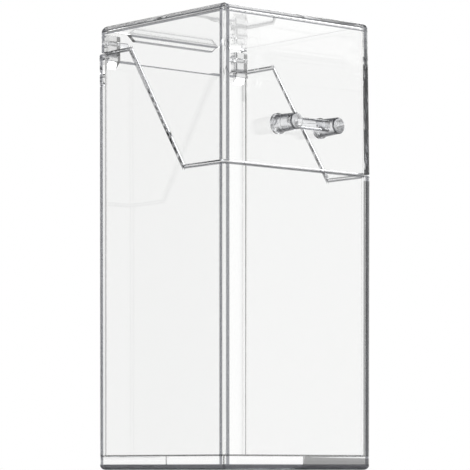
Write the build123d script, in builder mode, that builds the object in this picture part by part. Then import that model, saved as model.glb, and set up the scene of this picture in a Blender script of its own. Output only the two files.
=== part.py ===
from build123d import *
from math import cos, radians, sin, tan
import os

# Clear moulded tower for make-up brushes: an open-topped tub, a lid shell that flips up on two
# pegs at the rear, and a pull in front of the lid. Millimetres, +Z up, origin at the centre of
# the underside, -Y towards the pull and +Y towards the hinge.

# ---- Overall size, with the width and depth taken at the underside
width = 96.4
depth = 96.4
height = 226.0

# ---- Mouldings
wall = 2.4
floor_thickness = 6.6
top_thickness = 2.6
corner_radius = 1.2
inner_corner_radius = 2.4
floor_bevel = 0.8
base_edge_radius = 2.4
top_edge_radius = 3.2
top_inner_radius = 1.5
tub_draft_angle = 0.25
lid_draft_angle = 0.35

# ---- Parting line between tub and lid, seen from the side: low and level in front, a slope,
#      then high and level to the rear. Runs are measured back from the front face.
seam_front_height = 147.9
seam_rear_below_pin = 5.7
seam_front_run = 30.8
seam_rear_run = 72.8
seam_bend_radius = 2.0
lid_gap = 0.4
rim_bevel = 0.5

# ---- Hinge: pegs pressed into the lid's sides that turn in two ears of the tub
pin_axis_from_rear = 3.0
pin_axis_from_top = 9.0
pin_diameter = 2.5
pin_length = 16.7
pin_tip_chamfer = 0.5
pin_running_clearance = 0.06
ear_side_clearance = 0.4
ear_width = 7.0
ear_thickness = 5.5
ear_crown = 4.2
ear_rear_radius = 3.8
ear_front_radius = 1.1
ear_root_depth = 0.5

# ---- Rear opening between the tub's back wall and the lid's short lip
back_wall_below_pin = 8.5
back_shoulder_rise = 1.1
back_shoulder_run = 6.0
lip_height = 3.4
lip_end_inset = 19.0
lip_end_run = 4.0
lip_round = 0.8

# ---- Pull: two posts joined by a bar
pull_above_seam = 21.1
post_spacing = 28.0
post_root_diameter = 9.2
post_end_diameter = 8.2
post_length = 14.2
post_bevel = 0.6
flange_diameter = 10.4
flange_thickness = 1.5
flange_bevel = 0.5
bar_diameter = 5.8
bar_standoff = 9.2

# ---- Values that follow
tub_lean_angle = radians(tub_draft_angle)
lid_lean_angle = radians(lid_draft_angle)
pin_radius = pin_diameter / 2
pin_z = height - pin_axis_from_top
seam_rear_height = pin_z - seam_rear_below_pin
back_wall_height = pin_z - back_wall_below_pin
top_underside = height - top_thickness
lid_low_z = seam_front_height + lid_gap
lid_height = height - lid_low_z
lid_lean = lid_height * tan(lid_lean_angle)
side_x = width / 2 + seam_front_height * tan(tub_lean_angle)
side_y = depth / 2 + seam_front_height * tan(tub_lean_angle)
lid_rear_y = side_y - (pin_z - lid_low_z) * tan(lid_lean_angle)
lid_inner_x = side_x - wall - lid_lean
pin_y = lid_rear_y - pin_axis_from_rear
pin_outer_x = side_x - lid_lean
heel_radius = seam_rear_below_pin - lid_gap
ear_outer_x = lid_inner_x - ear_side_clearance
ear_inner_x = ear_outer_x - ear_width
ear_front_y = lid_rear_y - ear_thickness
ear_top_z = pin_z + ear_crown
ear_root_z = back_wall_height - ear_root_depth
lip_end_x = side_x - lip_end_inset
lip_low_z = top_underside - lip_height
post_root_radius = post_root_diameter / 2
post_end_radius = post_end_diameter / 2
flange_radius = flange_diameter / 2
beyond = width + depth + height

pull_height = seam_front_height + pull_above_seam
pull_y = -side_y + (pull_height - lid_low_z) * tan(lid_lean_angle)
pull_plane = Plane(
    origin=(0, pull_y, pull_height),
    x_dir=(1, 0, 0),
    z_dir=(0, -cos(lid_lean_angle), sin(lid_lean_angle)),
)
post_plane = Plane(
    origin=pull_plane.from_local_coords((post_spacing / 2, 0, 0)),
    x_dir=(1, 0, 0),
    z_dir=-pull_plane.y_dir,
)
bar_plane = Plane(
    origin=pull_plane.from_local_coords((0, 0, bar_standoff)),
    x_dir=(0, 1, 0),
    z_dir=(1, 0, 0),
)


def seam_points(raise_by):
    """The corners of the parting line in the side view, raised by a gap."""
    return [
        (-beyond, seam_front_height + raise_by),
        (seam_front_run - side_y, seam_front_height + raise_by),
        (seam_rear_run - side_y, seam_rear_height + raise_by),
        (beyond, seam_rear_height + raise_by),
    ]


def corner_edges(part):
    """The long edges that stand at the corners of a moulding."""
    return [edge for edge in part.edges() if abs((edge @ 1 - edge @ 0).Z) > lid_height / 2]


def rim_edges(part, up):
    """The edges between a wall's faces and its cut rim, which looks up (1) or down (-1)."""
    rim = [
        face
        for face in part.faces()
        if face.normal_at().Z * up > 0.3 and lid_low_z - 1 < face.center().Z < pin_z
    ]
    edges = [edge for face in rim for edge in face.edges()]
    return [edge for edge in edges if sum(edge.is_same(other) for other in edges) == 1]


# ---- Tub
with BuildPart() as tub:
    with BuildSketch():
        Rectangle(width, depth)
    extrude(amount=height, taper=-tub_draft_angle)
    fillet(tub.faces().sort_by(Axis.Z)[0].edges(), base_edge_radius)
    fillet(corner_edges(tub), corner_radius)
    with BuildSketch(Plane.XY.offset(floor_thickness)):
        RectangleRounded(width - 2 * wall, depth - 2 * wall, inner_corner_radius)
    extrude(amount=height, taper=-tub_draft_angle, mode=Mode.SUBTRACT)
    floor = tub.faces().filter_by(Plane.XY).sort_by(Axis.Z)[1]
    chamfer(floor.edges(), floor_bevel)
    with BuildSketch(Plane.YZ.offset(-beyond / 2)):
        with BuildLine():
            seam = FilletPolyline(*seam_points(0), radius=seam_bend_radius)
            Polyline(seam @ 1, (beyond, beyond), (-beyond, beyond), seam @ 0)
        make_face()
    extrude(amount=beyond, mode=Mode.SUBTRACT)
    chamfer(rim_edges(tub, 1), rim_bevel)

    # the back wall is low between the ears, with a raised shoulder beside each
    shoulder_z = back_wall_height + back_shoulder_rise
    with BuildSketch(Plane.XZ.offset(-side_y)):
        with BuildLine():
            top_edge = FilletPolyline(
                (-ear_inner_x, beyond),
                (-ear_inner_x, shoulder_z),
                (-lip_end_x, shoulder_z),
                (-lip_end_x + back_shoulder_run, back_wall_height),
                (lip_end_x - back_shoulder_run, back_wall_height),
                (lip_end_x, shoulder_z),
                (ear_inner_x, shoulder_z),
                (ear_inner_x, beyond),
                radius=back_shoulder_rise,
            )
            Line(top_edge @ 1, top_edge @ 0)
        make_face()
    extrude(amount=wall + inner_corner_radius, both=True, mode=Mode.SUBTRACT)

    # the ears stand on the back wall, and their roots slope into its inner face
    with BuildSketch(Plane.YZ.offset(ear_inner_x)) as ear_profile:
        with BuildLine():
            Polyline(
                (lid_rear_y, ear_root_z - ear_thickness),
                (lid_rear_y, ear_top_z),
                (ear_front_y, ear_top_z),
                (ear_front_y, ear_root_z),
                close=True,
            )
        make_face()
        crown = ear_profile.vertices().group_by(Axis.Y)[-1].sort_by(Axis.X)
        fillet(crown[0], ear_front_radius)
        fillet(crown[-1], ear_rear_radius)
    ears = extrude(amount=ear_width)
    mirror(ears, about=Plane.YZ)

    # the pegs turn in the ears
    with BuildSketch(Plane.YZ.offset(-side_x)):
        with Locations((pin_y, pin_z)):
            Circle(pin_radius + pin_running_clearance)
    extrude(amount=2 * side_x, mode=Mode.SUBTRACT)
tub.part.label = "tub"

# ---- Lid
with BuildPart() as lid_shell:
    with BuildSketch(Plane.XY.offset(lid_low_z)):
        Rectangle(2 * side_x, 2 * side_y)
    extrude(amount=lid_height, taper=lid_draft_angle)
    fillet(corner_edges(lid_shell), corner_radius)
    fillet(lid_shell.faces().sort_by(Axis.Z)[-1].edges(), top_edge_radius)
    with BuildSketch(Plane.XY.offset(lid_low_z)):
        RectangleRounded(2 * (side_x - wall), 2 * (side_y - wall), inner_corner_radius)
    extrude(amount=lid_height - top_thickness, taper=lid_draft_angle, mode=Mode.SUBTRACT)
    underside = lid_shell.faces().filter_by(Plane.XY).sort_by(Axis.Z)[-2]
    fillet(underside.edges(), top_inner_radius)
    with BuildSketch(Plane.YZ.offset(-beyond / 2)):
        with BuildLine():
            seam = FilletPolyline(*seam_points(lid_gap), radius=seam_bend_radius)
            Polyline(seam @ 1, (beyond, -beyond), (-beyond, -beyond), seam @ 0)
        make_face()
    extrude(amount=beyond, mode=Mode.SUBTRACT)

    # the rear is open below a short lip, and right up to the top over the ears
    with BuildSketch(Plane.XZ.offset(-side_y)):
        with BuildLine():
            lip_edge = FilletPolyline(
                (-lid_inner_x, lid_low_z),
                (-lid_inner_x, top_underside),
                (-lip_end_x, top_underside),
                (-lip_end_x + lip_end_run, lip_low_z),
                (lip_end_x - lip_end_run, lip_low_z),
                (lip_end_x, top_underside),
                (lid_inner_x, top_underside),
                (lid_inner_x, lid_low_z),
                radius=lip_round,
            )
            Line(lip_edge @ 1, lip_edge @ 0)
        make_face()
    extrude(amount=wall + lid_lean + top_inner_radius, both=True, mode=Mode.SUBTRACT)
    chamfer(rim_edges(lid_shell, -1), rim_bevel)

    # each side's rear foot is rounded about the pegs, so that it swings over the tub
    with BuildSketch(Plane.YZ.offset(-beyond / 2)):
        with Locations((pin_y, pin_z)):
            Rectangle(beyond, beyond, align=(Align.MIN, Align.MAX))
            Circle(heel_radius, mode=Mode.SUBTRACT)
    extrude(amount=beyond, mode=Mode.SUBTRACT)

    # the pegs are pressed into the sides
    with BuildSketch(Plane.YZ.offset(-side_x)):
        with Locations((pin_y, pin_z)):
            Circle(pin_radius)
    extrude(amount=2 * side_x, mode=Mode.SUBTRACT)
lid_shell.part.label = "lid_shell"

# ---- Pegs, each from the lid's outer face through an ear, with a pointed inner end
with BuildPart() as hinge_pin_left:
    with BuildSketch(Plane.YZ.offset(-pin_outer_x)):
        with Locations((pin_y, pin_z)):
            Circle(pin_radius)
    extrude(amount=pin_length)
    chamfer(hinge_pin_left.faces().sort_by(Axis.X)[-1].edges(), pin_tip_chamfer)
hinge_pin_left.part.label = "hinge_pin_left"

with BuildPart() as hinge_pin_right:
    mirror(hinge_pin_left.part, about=Plane.YZ)
hinge_pin_right.part.label = "hinge_pin_right"

# ---- Pull, standing square on the lid's leaning front face
with BuildPart() as pull_handle:
    with BuildSketch(post_plane):
        with BuildLine():
            Polyline(
                (0, 0),
                (flange_radius, 0),
                (flange_radius, flange_thickness - flange_bevel),
                (flange_radius - flange_bevel, flange_thickness),
                (post_root_radius, flange_thickness),
                (post_end_radius, post_length - post_bevel),
                (post_end_radius - post_bevel, post_length),
                (0, post_length),
                close=True,
            )
        make_face()
    post = revolve(axis=Axis(post_plane.origin, pull_plane.z_dir))
    mirror(post, about=Plane.YZ)
    with BuildSketch(bar_plane):
        Circle(bar_diameter / 2)
    extrude(amount=post_spacing / 2, both=True)
pull_handle.part.label = "pull_handle"

os.makedirs("parts", exist_ok=True)
export_step(tub.part, "parts/tub.step")
export_step(lid_shell.part, "parts/lid_shell.step")
export_step(hinge_pin_left.part, "parts/hinge_pin_left.step")
export_step(hinge_pin_right.part, "parts/hinge_pin_right.step")
export_step(pull_handle.part, "parts/pull_handle.step")
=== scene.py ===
import math

import bpy
from bpy.props import FloatProperty, FloatVectorProperty, PointerProperty
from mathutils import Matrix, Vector


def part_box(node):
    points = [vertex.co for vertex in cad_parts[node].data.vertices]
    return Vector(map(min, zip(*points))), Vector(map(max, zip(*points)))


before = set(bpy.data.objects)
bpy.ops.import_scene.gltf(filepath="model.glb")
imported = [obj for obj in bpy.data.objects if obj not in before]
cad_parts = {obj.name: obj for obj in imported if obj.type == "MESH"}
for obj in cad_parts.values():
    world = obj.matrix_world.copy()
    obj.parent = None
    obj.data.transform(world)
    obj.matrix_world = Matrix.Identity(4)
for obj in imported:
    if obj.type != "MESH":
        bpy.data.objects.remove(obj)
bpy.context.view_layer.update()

bl_info = {
    "name": "Clear Brush Tower",
    "version": (1, 0, 0),
    "blender": (4, 5, 0),
    "location": "3D View > Sidebar > Brush Tower",
    "description": "Dresses a clear moulded brush tower and sets it on a studio table",
    "category": "Object",
}

TUB_LOW, TUB_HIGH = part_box("tub")
LID_LOW, LID_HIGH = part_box("lid_shell")
PULL_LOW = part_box("pull_handle")[0]

NOWHERE = 10.0  # metres; a height that no piece reaches
EDGE_SOFTNESS = 0.0004  # metres over which a dark edge fades out
EAR_SOFTNESS = 0.001  # metres over which the shade of the ears fades in
TOP_LINE = 0.0006  # metres; half width of the lines along the top
LIP_LINE = 0.0007  # metres; half width of the lines along the rear lip
BACK_LINE = 0.0009  # metres; half width of the line along the back wall's top edge
BEVEL_START = 0.0001  # metres from the flat end of a post to the start of its bevel
BEVEL_END = 0.0007  # metres from the flat end of a post to the end of its bevel

SHELL_SLANT_END = 0.98  # slant of view at which a wall is fully dark
PULL_SLANT_END = 0.5  # slant of view at which the pull is fully dark
PEG_SLANT_END = 0.7  # slant of view at which a peg is fully dark
PATCH_START = 0.35  # noise level at which a dull patch starts
PATCH_END = 0.75  # noise level at which a patch is at its dullest

TABLE_SIDES = 96  # corners of the round table
TABLE_DROP = 0.0002  # metres between the tower's underside and the table
TABLE_ROUGHNESS = 0.6
RIGHT_LAMP_PLACE = Vector((1.1, 0.5, 1.1))
LEFT_LAMP_PLACE = Vector((-1.0, -0.2, 1.2))
LAMP_AIM = Vector((0, 0, 0.1))
LAMP_WIDTH = 0.6  # metres
LAMP_LENGTH = 0.8  # metres

# directions in the room, and the cosines between which it darkens towards them
UP = Vector((0, 0, 1))
LEFT_REAR = Vector((-0.8, 0.6, 0))
LENS_SIDE = Vector((-0.656, -0.755, 0))
SHADE_FULL = 0.8
LEFT_REAR_FULL = 0.75
CEILING_EDGE = 0.35
MIRRORED_CEILING_EDGE = 0.3
LEFT_REAR_EDGE = 0.3
LENS_SIDE_EDGE = 0.1
ONE_BOUNCE = 0.5  # ray depths above this have bounced at least once
BOUNCE_LIMIT = 40  # light guided along the walls is mirrored many times before it leaves


# ---------------------------------------------------------------- sizes and colours


class TowerPlastic(bpy.types.PropertyGroup):
    """The clear styrene of the mouldings."""

    refraction: FloatProperty(
        name="Refractive index", description="How strongly the plastic bends light",
        default=1.58, min=1.0, max=2.5,
    )
    shell_tint: FloatVectorProperty(
        name="Shell tint", description="Colour that the walls of the tub and the lid let through",
        subtype="COLOR", size=3, default=(0.996, 0.998, 0.995), min=0.0, max=1.0,
    )
    pull_tint: FloatVectorProperty(
        name="Pull tint", description="Colour that the thick plastic of pull and pegs lets through",
        subtype="COLOR", size=3, default=(0.92, 0.925, 0.94), min=0.0, max=1.0,
    )
    # painted shade: the dark colour painted on the walls' corners, lines, edges and slanted faces
    painted_edge_shade: FloatVectorProperty(
        name="Edge tint", description="Colour of a wall where it is seen along its thickness",
        subtype="COLOR", size=3, default=(0.10, 0.104, 0.118), min=0.0, max=1.0,
    )
    # painted shade: the dark colour painted along the outlines of pull and pegs
    painted_outline_shade: FloatVectorProperty(
        name="Outline tint", description="Colour along the outlines of pull and pegs",
        subtype="COLOR", size=3, default=(0.03, 0.031, 0.036), min=0.0, max=1.0,
    )
    # painted shade: further darkening painted on the rounded bottom edge
    painted_base_shade: FloatVectorProperty(
        name="Base tint", description="Further darkening of the rounded bottom edge",
        subtype="COLOR", size=3, default=(0.25, 0.25, 0.27), min=0.0, max=1.0,
    )
    polish: FloatProperty(
        name="Polish", description="Roughness of the best polished spots",
        default=0.004, min=0.0, max=1.0,
    )
    wear: FloatProperty(
        name="Wear", description="Roughness of the dullest spots",
        default=0.02, min=0.0, max=1.0,
    )
    wear_scale: FloatProperty(
        name="Wear scale", description="How many dull spots fall on a metre",
        default=38.0, min=0.0,
    )


class TowerEdges(bpy.types.PropertyGroup):
    """Where painted shade draws dark lines at the thickness of the clear walls."""

    tub_draft: FloatProperty(
        name="Tub draft", description="How far the tub's walls lean outwards",
        subtype="ANGLE", default=math.radians(0.25),
    )
    lid_draft: FloatProperty(
        name="Lid draft", description="How far the lid's walls lean inwards",
        subtype="ANGLE", default=math.radians(0.35),
    )
    corner_reach: FloatProperty(
        name="Corner reach", description="How far from a standing corner a wall looks thick",
        unit="LENGTH", default=0.0036, min=0.0,
    )
    corner_core: FloatProperty(
        name="Corner core", description="Bright stretch at the very corner",
        unit="LENGTH", default=0.0011, min=0.0,
    )
    skin: FloatProperty(
        name="Skin", description="How deep a spot may lie and still belong to the outer face",
        unit="LENGTH", default=0.0014, min=0.0,
    )
    wall: FloatProperty(
        name="Wall", description="Thickness of the walls",
        unit="LENGTH", default=0.0025, min=0.0,
    )
    base_reach: FloatProperty(
        name="Base reach", description="Height of the dark band along the bottom edge",
        unit="LENGTH", default=0.0029, min=0.0,
    )
    top_underside: FloatProperty(
        name="Top underside", description="Depth at which the top's underside shows",
        unit="LENGTH", default=0.0026, min=0.0,
    )
    top_rounding: FloatProperty(
        name="Top rounding", description="Depth at which the inner rounding under the top ends",
        unit="LENGTH", default=0.0043, min=0.0,
    )
    lip_root: FloatProperty(
        name="Lip root", description="Depth at which the rear lip leaves the top",
        unit="LENGTH", default=0.0032, min=0.0,
    )
    lip_foot: FloatProperty(
        name="Lip foot", description="Depth of the foot of the rear lip",
        unit="LENGTH", default=0.0058, min=0.0,
    )
    rear_start: FloatProperty(
        name="Rear start", description="Where the rear wall and the lip begin, front to rear",
        unit="LENGTH", default=0.0435,
    )
    back_edge: FloatProperty(
        name="Back edge", description="Height of the top edge of the tub's back wall",
        unit="LENGTH", default=0.2085, min=0.0,
    )
    ear_foot: FloatProperty(
        name="Ear foot", description="Height at which the hinge ears start",
        unit="LENGTH", default=0.195, min=0.0,
    )
    ear_shade: FloatProperty(
        name="Ear shade", description="How dark the ears are, 1 being the edge tint",
        default=0.4, min=0.0, max=1.0,
    )
    slope_foot_depth: FloatProperty(
        name="Slope foot depth", description="Where the parting line starts to rise",
        unit="LENGTH", default=-0.01805,
    )
    slope_head_depth: FloatProperty(
        name="Slope head depth", description="Where the parting line runs level again",
        unit="LENGTH", default=0.02395,
    )
    parting_front: FloatProperty(
        name="Parting front", description="Height of the parting line in front",
        unit="LENGTH", default=0.1479,
    )
    parting_rear: FloatProperty(
        name="Parting rear", description="Height of the parting line behind",
        unit="LENGTH", default=0.2113,
    )
    parting_reach: FloatProperty(
        name="Parting reach", description="Half height of the dark band on the level stretches",
        unit="LENGTH", default=0.0012, min=0.0,
    )
    slope_reach: FloatProperty(
        name="Slope reach", description="Half height of the dark band on the slope",
        unit="LENGTH", default=0.0021, min=0.0,
    )
    parting_shade: FloatProperty(
        name="Parting shade", description="How dark the parting line is, 1 being the edge tint",
        default=0.85, min=0.0, max=1.0,
    )
    shell_slant: FloatProperty(
        name="Shell slant", description="Slant of view past which a wall starts to darken",
        default=0.88, min=0.0, max=1.0,
    )
    outline_slant: FloatProperty(
        name="Outline slant", description="Slant of view past which pull and pegs start to darken",
        default=0.25, min=0.0, max=1.0,
    )


class TowerStudio(bpy.types.PropertyGroup):
    """The table, the light and the camera."""

    table_radius: FloatProperty(
        name="Table radius", description="Radius of the round table",
        unit="LENGTH", default=3.0, min=0.0,
    )
    table_colour: FloatVectorProperty(
        name="Table colour", description="Colour of the table near the tower",
        subtype="COLOR", size=3, default=(0.86, 0.86, 0.87), min=0.0, max=1.0,
    )
    fade_start: FloatProperty(
        name="Fade start", description="Distance at which the table starts to turn white",
        unit="LENGTH", default=0.3, min=0.0,
    )
    fade_end: FloatProperty(
        name="Fade end", description="Distance from which the table is white",
        unit="LENGTH", default=0.8, min=0.0,
    )
    room_light: FloatProperty(
        name="Room light", description="Level at which the room lights the table",
        default=0.82, min=0.0,
    )
    ceiling_shade: FloatProperty(
        name="Ceiling shade", description="Brightness of the ceiling seen straight through",
        default=0.75, min=0.0, max=1.0,
    )
    mirrored_ceiling: FloatProperty(
        name="Mirrored ceiling", description="Brightness of the ceiling in reflections",
        default=0.1, min=0.0, max=1.0,
    )
    mirrored_lens_side: FloatProperty(
        name="Mirrored lens side", description="Brightness behind the camera in reflections",
        default=0.12, min=0.0, max=1.0,
    )
    mirrored_left_rear: FloatProperty(
        name="Mirrored left rear", description="Brightness of the left rear in reflections",
        default=0.3, min=0.0, max=1.0,
    )
    right_lamp_power: FloatProperty(
        name="Right lamp power", description="Power of the softbox on the right, in watts",
        default=4.5, min=0.0,
    )
    left_lamp_power: FloatProperty(
        name="Left lamp power", description="Power of the softbox on the left, in watts",
        default=3.5, min=0.0,
    )
    camera_yaw: FloatProperty(
        name="Camera yaw", description="How far the view turns from the rear towards the right",
        subtype="ANGLE", default=math.radians(40.99),
    )
    camera_pitch: FloatProperty(
        name="Camera pitch", description="How far the view looks up",
        subtype="ANGLE", default=math.radians(5.175),
    )
    near_corner: FloatProperty(
        name="Near corner", description="Half the width of the tub's underside",
        unit="LENGTH", default=0.0482,
    )
    camera_distance: FloatProperty(
        name="Camera distance", description="From the lens to the nearest corner, along the view",
        unit="LENGTH", default=1.2391,
    )
    camera_aside: FloatProperty(
        name="Camera aside", description="How far the lens stands to the right of that corner",
        unit="LENGTH", default=0.00522,
    )
    camera_height: FloatProperty(
        name="Camera height", description="Height of the lens over the table",
        unit="LENGTH", default=0.0,
    )
    focal_length: FloatProperty(
        name="Focal length", description="Lens focal length in millimetres", default=198.66,
    )


# ---------------------------------------------------------------- node helpers


def new_material(name):
    """An empty node material and its output node."""
    material = bpy.data.materials.new(name)
    material.use_nodes = True
    material.node_tree.nodes.clear()
    output = material.node_tree.nodes.new("ShaderNodeOutputMaterial")
    return material, output


def wire(tree, source, socket):
    """Sets a socket to a value or links it to another node's output."""
    if isinstance(source, bpy.types.NodeSocket):
        tree.links.new(source, socket)
    else:
        socket.default_value = source


def arithmetic(tree, operation, first, second=0.0):
    """The result of a math node."""
    node = tree.nodes.new("ShaderNodeMath")
    node.operation = operation
    wire(tree, first, node.inputs[0])
    wire(tree, second, node.inputs[1])
    return node.outputs[0]


def ramp(tree, value, start, end):
    """Runs softly from 0 at `start` to 1 at `end`."""
    node = tree.nodes.new("ShaderNodeMapRange")
    node.interpolation_type = "SMOOTHSTEP"
    wire(tree, value, node.inputs["Value"])
    wire(tree, start, node.inputs["From Min"])
    wire(tree, end, node.inputs["From Max"])
    return node.outputs["Result"]


def line(tree, value, place, half_width):
    """1 where a value lies within `half_width` of a place, softly 0 elsewhere."""
    away = arithmetic(tree, "ABSOLUTE", arithmetic(tree, "SUBTRACT", value, place))
    return ramp(tree, away, half_width, half_width - EDGE_SOFTNESS)


def both(tree, first, second):
    """Where two masks overlap."""
    return arithmetic(tree, "MULTIPLY", first, second)


def either(tree, first, second):
    """Where either of two masks lies."""
    return arithmetic(tree, "MAXIMUM", first, second)


def blend(tree, factor, first, second):
    """Goes from the first number to the second."""
    node = tree.nodes.new("ShaderNodeMix")
    node.data_type = "FLOAT"
    wire(tree, factor, node.inputs["Factor"])
    wire(tree, first, node.inputs["A"])
    wire(tree, second, node.inputs["B"])
    return node.outputs["Result"]


def colour_blend(tree, kind, factor, first, second):
    """Mixes or multiplies two colours."""
    node = tree.nodes.new("ShaderNodeMix")
    node.data_type = "RGBA"
    node.blend_type = kind
    wire(tree, factor, node.inputs["Factor"])
    wire(tree, first, node.inputs["A"])
    wire(tree, second, node.inputs["B"])
    return node.outputs["Result"]


# ---------------------------------------------------------------- materials


def group_sockets(tree, plastic, edges):
    """The named inputs and outputs of the moulding group."""
    def number(name, default=0.0):
        socket = tree.interface.new_socket(
            name, in_out="INPUT", socket_type="NodeSocketFloat"
        )
        socket.default_value = default

    def colour(name, default):
        socket = tree.interface.new_socket(
            name, in_out="INPUT", socket_type="NodeSocketColor"
        )
        socket.default_value = (*default, 1.0)

    colour("Tint", plastic.shell_tint)
    # the Edge Tint socket carries the painted shade of edges, corners and lines
    colour("Edge Tint", plastic.painted_edge_shade)
    number("Half Width")
    number("Half Depth")
    number("Lean")
    number("Top", NOWHERE)
    number("Back Edge", NOWHERE)
    number("Ear Foot", NOWHERE)
    number("Parting Shade")
    number("Bevel Start")
    number("Bevel End")
    number("Slant")
    number("Slant Start", edges.shell_slant)
    number("Slant End", SHELL_SLANT_END)
    number("Far Side")
    tree.interface.new_socket("Color", in_out="OUTPUT", socket_type="NodeSocketColor")
    tree.interface.new_socket("Roughness", in_out="OUTPUT", socket_type="NodeSocketFloat")


def moulding_group(context):
    """Shared look of the mouldings: tint, painted shade where walls are seen along their thickness,
    uneven polish.

    Half Width and Half Depth, at the height 0, and Lean place the standing corners."""
    name = "clear moulding"
    if name in bpy.data.node_groups:
        return bpy.data.node_groups[name]
    plastic, edges = context.scene.tower_plastic, context.scene.tower_edges
    tree = bpy.data.node_groups.new(name, "ShaderNodeTree")
    group_sockets(tree, plastic, edges)
    given = tree.nodes.new("NodeGroupInput").outputs
    result = tree.nodes.new("NodeGroupOutput").inputs
    place = tree.nodes.new("ShaderNodeTexCoord").outputs["Object"]
    split = tree.nodes.new("ShaderNodeSeparateXYZ")
    wire(tree, place, split.inputs[0])
    x, y, z = split.outputs

    # how far a spot lies in from the side walls and from the front or rear wall
    spread = arithmetic(tree, "MULTIPLY", z, given["Lean"])
    half_width = arithmetic(tree, "ADD", given["Half Width"], spread)
    half_depth = arithmetic(tree, "ADD", given["Half Depth"], spread)
    from_side = arithmetic(tree, "SUBTRACT", half_width, arithmetic(tree, "ABSOLUTE", x))
    from_end = arithmetic(tree, "SUBTRACT", half_depth, arithmetic(tree, "ABSOLUTE", y))
    from_corner = arithmetic(tree, "MAXIMUM", from_side, from_end)
    inwards = arithmetic(tree, "MINIMUM", from_side, from_end)
    outer = ramp(tree, inwards, edges.skin, edges.skin - EDGE_SOFTNESS)

    # the standing corners: painted shade beside them, left bright at the very corner
    beside = ramp(tree, from_corner, edges.corner_reach, edges.corner_reach - EDGE_SOFTNESS)
    past_core = ramp(tree, from_corner, edges.corner_core, edges.corner_core + EDGE_SOFTNESS)
    dark = both(tree, both(tree, beside, past_core), outer)

    # painted shade along the rounded bottom edge
    base = ramp(tree, z, edges.base_reach, edges.base_reach - EDGE_SOFTNESS)
    base = both(tree, base, ramp(tree, inwards, edges.wall, edges.wall - EDGE_SOFTNESS))
    dark = either(tree, dark, base)

    # painted dark lines at the thickness of the top, outside and along the rear lip
    drop = arithmetic(tree, "SUBTRACT", given["Top"], z)
    behind = ramp(tree, y, edges.rear_start, edges.rear_start + EDGE_SOFTNESS)
    for depth in (edges.top_underside, edges.top_rounding):
        dark = either(tree, dark, both(tree, line(tree, drop, depth, TOP_LINE), outer))
    for depth in (edges.lip_root, edges.lip_foot):
        dark = either(tree, dark, both(tree, line(tree, drop, depth, LIP_LINE), behind))

    # painted shade along the top edge of the tub's back wall, and on the ears on it
    back_edge = line(tree, z, given["Back Edge"], BACK_LINE)
    dark = either(tree, dark, both(tree, back_edge, behind))
    ear_full = arithmetic(tree, "ADD", given["Ear Foot"], EAR_SOFTNESS)
    ear = ramp(tree, z, given["Ear Foot"], ear_full)
    ear = both(tree, ear, ramp(tree, inwards, edges.wall, edges.wall + EDGE_SOFTNESS))
    dark = either(tree, dark, both(tree, ear, edges.ear_shade))

    # painted shade on the bevel around the front end of a post
    past_face = arithmetic(tree, "GREATER_THAN", y, given["Bevel Start"])
    before_post = arithmetic(tree, "LESS_THAN", y, given["Bevel End"])
    dark = either(tree, dark, both(tree, past_face, before_post))

    # the painted shade shows on the faces turned to the eye, not from inside the plastic
    near_side = arithmetic(tree, "SUBTRACT", 1.0, given["Far Side"])
    dark = both(tree, dark, near_side)

    # painted shade along the parting line between tub and lid, a step with a slope in it
    parting = tree.nodes.new("ShaderNodeMapRange")
    wire(tree, y, parting.inputs["Value"])
    parting.inputs["From Min"].default_value = edges.slope_foot_depth
    parting.inputs["From Max"].default_value = edges.slope_head_depth
    parting.inputs["To Min"].default_value = edges.parting_front
    parting.inputs["To Max"].default_value = edges.parting_rear
    away = arithmetic(tree, "SUBTRACT", z, parting.outputs["Result"])
    away = arithmetic(tree, "ABSOLUTE", away)
    past_foot = arithmetic(tree, "GREATER_THAN", y, edges.slope_foot_depth)
    before_head = arithmetic(tree, "LESS_THAN", y, edges.slope_head_depth)
    on_slope = both(tree, past_foot, before_head)
    reach = blend(tree, on_slope, edges.parting_reach, edges.slope_reach)
    cut = ramp(tree, away, reach, arithmetic(tree, "SUBTRACT", reach, EDGE_SOFTNESS))
    dark = either(tree, dark, both(tree, cut, given["Parting Shade"]))

    # painted shade where a face is seen at a slant, standing in for the plastic seen along its
    # thickness
    slant = ramp(tree, given["Slant"], given["Slant Start"], given["Slant End"])
    dark = either(tree, dark, slant)
    colour = colour_blend(tree, "MIX", dark, given["Tint"], given["Edge Tint"])
    # the bottom edge gets a further painted shade
    colour = colour_blend(
        tree, "MULTIPLY", both(tree, base, near_side), colour, (*plastic.painted_base_shade, 1.0)
    )
    wire(tree, colour, result["Color"])

    # polish, a little duller in patches
    patches = tree.nodes.new("ShaderNodeTexNoise")
    patches.inputs["Scale"].default_value = plastic.wear_scale
    wire(tree, place, patches.inputs["Vector"])
    dull = ramp(tree, patches.outputs["Fac"], PATCH_START, PATCH_END)
    wire(tree, blend(tree, dull, plastic.polish, plastic.wear), result["Roughness"])
    return tree


def clear_styrene(context, name, **values):
    """Polished clear plastic, with values for the moulding group's sockets."""
    material, output = new_material(name)
    tree = material.node_tree
    look = tree.nodes.new("ShaderNodeGroup")
    look.node_tree = moulding_group(context)
    for socket, value in values.items():
        look.inputs[socket.replace("_", " ")].default_value = value
    # Layer Weight's facing drives the painted shade on slanted faces
    slant = tree.nodes.new("ShaderNodeLayerWeight")
    wire(tree, slant.outputs["Facing"], look.inputs["Slant"])
    side = tree.nodes.new("ShaderNodeNewGeometry")
    wire(tree, side.outputs["Backfacing"], look.inputs["Far Side"])
    shader = tree.nodes.new("ShaderNodeBsdfPrincipled")
    shader.inputs["Metallic"].default_value = 0.0
    shader.inputs["Transmission Weight"].default_value = 1.0
    shader.inputs["IOR"].default_value = context.scene.tower_plastic.refraction
    wire(tree, look.outputs["Color"], shader.inputs["Base Color"])
    wire(tree, look.outputs["Roughness"], shader.inputs["Roughness"])
    wire(tree, shader.outputs["BSDF"], output.inputs["Surface"])
    return material


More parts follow.
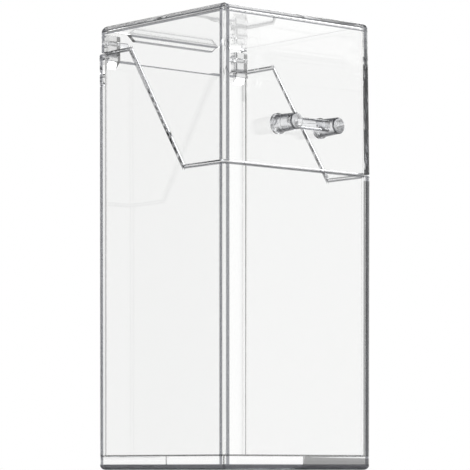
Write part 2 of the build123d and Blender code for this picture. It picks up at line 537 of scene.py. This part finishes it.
def outlined_styrene(context, name, slant_end, **values):
    """Clear plastic for small round pieces, with painted dark outlines."""
    plastic = context.scene.tower_plastic
    return clear_styrene(
        context, name,
        Tint=(*plastic.pull_tint, 1.0),
        Edge_Tint=(*plastic.painted_outline_shade, 1.0),
        Slant_Start=context.scene.tower_edges.outline_slant,
        Slant_End=slant_end,
        **values,
    )


def dress(node_name, material):
    """Gives a CAD node its finished material."""
    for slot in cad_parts[node_name].material_slots:
        slot.material = material


# ---------------------------------------------------------------- operators


class TOWER_OT_tub(bpy.types.Operator):
    """Dresses the tub in clear styrene, with painted shade along its corners, base, ears and
    parting line
    """

    bl_idname = "tower.tub"
    bl_label = "Dress the Tub"

    def execute(self, context):
        edges = context.scene.tower_edges
        lean = math.tan(edges.tub_draft)
        dress("tub", clear_styrene(
            context, "clear tub",
            Half_Width=TUB_HIGH[0] - lean * edges.parting_rear,
            Half_Depth=-TUB_LOW[1] - lean * edges.parting_front,
            Lean=lean,
            Back_Edge=edges.back_edge,
            Ear_Foot=edges.ear_foot,
            Parting_Shade=edges.parting_shade,
        ))
        return {"FINISHED"}


class TOWER_OT_lid(bpy.types.Operator):
    """Dresses the lid shell in clear styrene, with painted shade along its corners, top, lip and
    parting line
    """

    bl_idname = "tower.lid"
    bl_label = "Dress the Lid"

    def execute(self, context):
        edges = context.scene.tower_edges
        lean = -math.tan(edges.lid_draft)
        dress("lid_shell", clear_styrene(
            context, "clear lid",
            Half_Width=LID_HIGH[0] - lean * LID_LOW[2],
            Half_Depth=-LID_LOW[1] - lean * LID_LOW[2],
            Lean=lean,
            Top=LID_HIGH[2],
            Parting_Shade=edges.parting_shade,
        ))
        return {"FINISHED"}


class TOWER_OT_pull(bpy.types.Operator):
    """Dresses the pull in clear styrene, with painted dark outlines and painted shade on its bevels
    """

    bl_idname = "tower.pull"
    bl_label = "Dress the Pull"

    def execute(self, context):
        dress("pull_handle", outlined_styrene(
            context, "clear pull", PULL_SLANT_END,
            Bevel_Start=PULL_LOW[1] + BEVEL_START,
            Bevel_End=PULL_LOW[1] + BEVEL_END,
        ))
        return {"FINISHED"}


class TOWER_OT_pegs(bpy.types.Operator):
    """Dresses the two hinge pegs in clear styrene, with painted dark outlines"""

    bl_idname = "tower.pegs"
    bl_label = "Dress the Pegs"

    def execute(self, context):
        material = outlined_styrene(context, "clear peg", PEG_SLANT_END)
        dress("hinge_pin_left", material)
        dress("hinge_pin_right", material)
        return {"FINISHED"}


class TOWER_OT_stage(bpy.types.Operator):
    """Adds the table, the room, the lamps and the camera"""

    bl_idname = "tower.stage"
    bl_label = "Set the Stage"

    def execute(self, context):
        settings = context.scene.tower_studio
        self.table(context, settings)
        self.room(context, settings)
        self.lamp(context, "softbox_right", RIGHT_LAMP_PLACE, settings.right_lamp_power)
        self.lamp(context, "softbox_left", LEFT_LAMP_PLACE, settings.left_lamp_power)
        self.camera(context, settings)
        return {"FINISHED"}

    def table(self, context, settings):
        """A round table that turns white away from the tower, as a white sweep does."""
        bpy.ops.mesh.primitive_circle_add(
            vertices=TABLE_SIDES, radius=settings.table_radius, fill_type="NGON",
            location=(0, 0, -TABLE_DROP),
        )
        table = context.object
        table.name = "studio_table"
        material, output = new_material("studio table")
        tree = material.node_tree
        surface = tree.nodes.new("ShaderNodeBsdfPrincipled")
        surface.inputs["Base Color"].default_value = (*settings.table_colour, 1.0)
        surface.inputs["Roughness"].default_value = TABLE_ROUGHNESS
        white = tree.nodes.new("ShaderNodeEmission")
        place = tree.nodes.new("ShaderNodeTexCoord")
        distance = tree.nodes.new("ShaderNodeVectorMath")
        distance.operation = "LENGTH"
        wire(tree, place.outputs["Object"], distance.inputs[0])
        far = ramp(tree, distance.outputs["Value"], settings.fade_start, settings.fade_end)
        rays = tree.nodes.new("ShaderNodeLightPath").outputs
        seen = either(tree, rays["Is Camera Ray"], rays["Is Glossy Ray"])
        seen = either(tree, seen, rays["Is Transmission Ray"])
        mix = tree.nodes.new("ShaderNodeMixShader")
        wire(tree, both(tree, far, seen), mix.inputs[0])
        wire(tree, surface.outputs["BSDF"], mix.inputs[1])
        wire(tree, white.outputs[0], mix.inputs[2])
        wire(tree, mix.outputs[0], output.inputs["Surface"])
        table.data.materials.append(material)

    def room(self, context, settings):
        """A white room. The plastic mirrors it darker above, behind the lens and left rear."""
        world = bpy.data.worlds.new("studio room")
        context.scene.world = world
        world.use_nodes = True
        tree = world.node_tree
        tree.nodes.clear()
        output = tree.nodes.new("ShaderNodeOutputWorld")
        background = tree.nodes.new("ShaderNodeBackground")
        rays = tree.nodes.new("ShaderNodeLightPath").outputs
        direction = tree.nodes.new("ShaderNodeTexCoord").outputs["Generated"]

        def shade_towards(aim, inner, outer, brightness):
            """1 all round, falling to `brightness` towards an aim, by the angle's cosine."""
            dot = tree.nodes.new("ShaderNodeVectorMath")
            dot.operation = "DOT_PRODUCT"
            dot.inputs[1].default_value = aim
            wire(tree, direction, dot.inputs[0])
            towards = ramp(tree, dot.outputs["Value"], outer, inner)
            return blend(tree, towards, 1.0, brightness)

        straight = shade_towards(UP, SHADE_FULL, CEILING_EDGE, settings.ceiling_shade)
        mirrored = both(
            tree,
            shade_towards(
                LEFT_REAR, LEFT_REAR_FULL, LEFT_REAR_EDGE, settings.mirrored_left_rear
            ),
            shade_towards(
                LENS_SIDE, SHADE_FULL, LENS_SIDE_EDGE, settings.mirrored_lens_side
            ),
        )
        ceiling = shade_towards(
            UP, SHADE_FULL, MIRRORED_CEILING_EDGE, settings.mirrored_ceiling
        )
        mirrored = both(tree, mirrored, ceiling)
        is_mirrored = arithmetic(tree, "GREATER_THAN", rays["Glossy Depth"], ONE_BOUNCE)
        is_scattered = arithmetic(tree, "GREATER_THAN", rays["Diffuse Depth"], ONE_BOUNCE)
        level = blend(tree, is_mirrored, straight, mirrored)
        level = blend(tree, is_scattered, level, settings.room_light)
        level = blend(tree, rays["Is Camera Ray"], level, 1.0)
        grey = tree.nodes.new("ShaderNodeCombineColor")
        for channel in grey.inputs:
            wire(tree, level, channel)
        wire(tree, grey.outputs[0], background.inputs["Color"])
        wire(tree, background.outputs[0], output.inputs["Surface"])

    def lamp(self, context, name, place, power):
        """A softbox aimed at the tower."""
        bpy.ops.object.light_add(type="AREA", location=place)
        lamp = context.object
        lamp.name = name
        lamp.data.shape = "RECTANGLE"
        lamp.data.size = LAMP_WIDTH
        lamp.data.size_y = LAMP_LENGTH
        lamp.data.energy = power
        aim = LAMP_AIM - place
        lamp.rotation_euler = aim.to_track_quat("-Z", "Y").to_euler()

    def camera(self, context, settings):
        """The photograph's view, from table height."""
        yaw = settings.camera_yaw
        forward = Vector((math.sin(yaw), math.cos(yaw), 0))
        right = Vector((math.cos(yaw), -math.sin(yaw), 0))
        corner = Vector((-settings.near_corner, -settings.near_corner, 0))
        place = corner - settings.camera_distance * forward + settings.camera_aside * right
        place.z = settings.camera_height
        bpy.ops.object.camera_add(location=place)
        camera = context.object
        camera.name = "photo_camera"
        camera.rotation_euler = (math.radians(90) + settings.camera_pitch, 0, -yaw)
        camera.data.lens = settings.focal_length
        context.scene.camera = camera


class TOWER_PT_panel(bpy.types.Panel):
    """Lists the steps, sizes and colours"""

    bl_label = "Brush Tower"
    bl_idname = "TOWER_PT_panel"
    bl_space_type = "VIEW_3D"
    bl_region_type = "UI"
    bl_category = "Brush Tower"

    def draw(self, context):
        for step in STEPS:
            self.layout.operator(step.bl_idname)
        for name, group in GROUPS:
            box = self.layout.box()
            for value in group.__annotations__:
                box.prop(getattr(context.scene, name), value)


GROUPS = (
    ("tower_plastic", TowerPlastic),
    ("tower_edges", TowerEdges),
    ("tower_studio", TowerStudio),
)
STEPS = (TOWER_OT_tub, TOWER_OT_lid, TOWER_OT_pull, TOWER_OT_pegs, TOWER_OT_stage)


def register():
    for name, group in GROUPS:
        bpy.utils.register_class(group)
        setattr(bpy.types.Scene, name, PointerProperty(type=group))
    for step in STEPS:
        bpy.utils.register_class(step)
    bpy.utils.register_class(TOWER_PT_panel)


def unregister():
    bpy.utils.unregister_class(TOWER_PT_panel)
    for step in reversed(STEPS):
        bpy.utils.unregister_class(step)
    for name, group in reversed(GROUPS):
        delattr(bpy.types.Scene, name)
        bpy.utils.unregister_class(group)


def main():
    register()
    scene = bpy.context.scene
    scene.view_settings.view_transform = "Standard"
    scene.cycles.max_bounces = BOUNCE_LIMIT
    scene.cycles.glossy_bounces = BOUNCE_LIMIT
    scene.cycles.transmission_bounces = BOUNCE_LIMIT
    bpy.ops.tower.tub()
    bpy.ops.tower.lid()
    bpy.ops.tower.pull()
    bpy.ops.tower.pegs()
    bpy.ops.tower.stage()


if __name__ == "__main__":
    main()
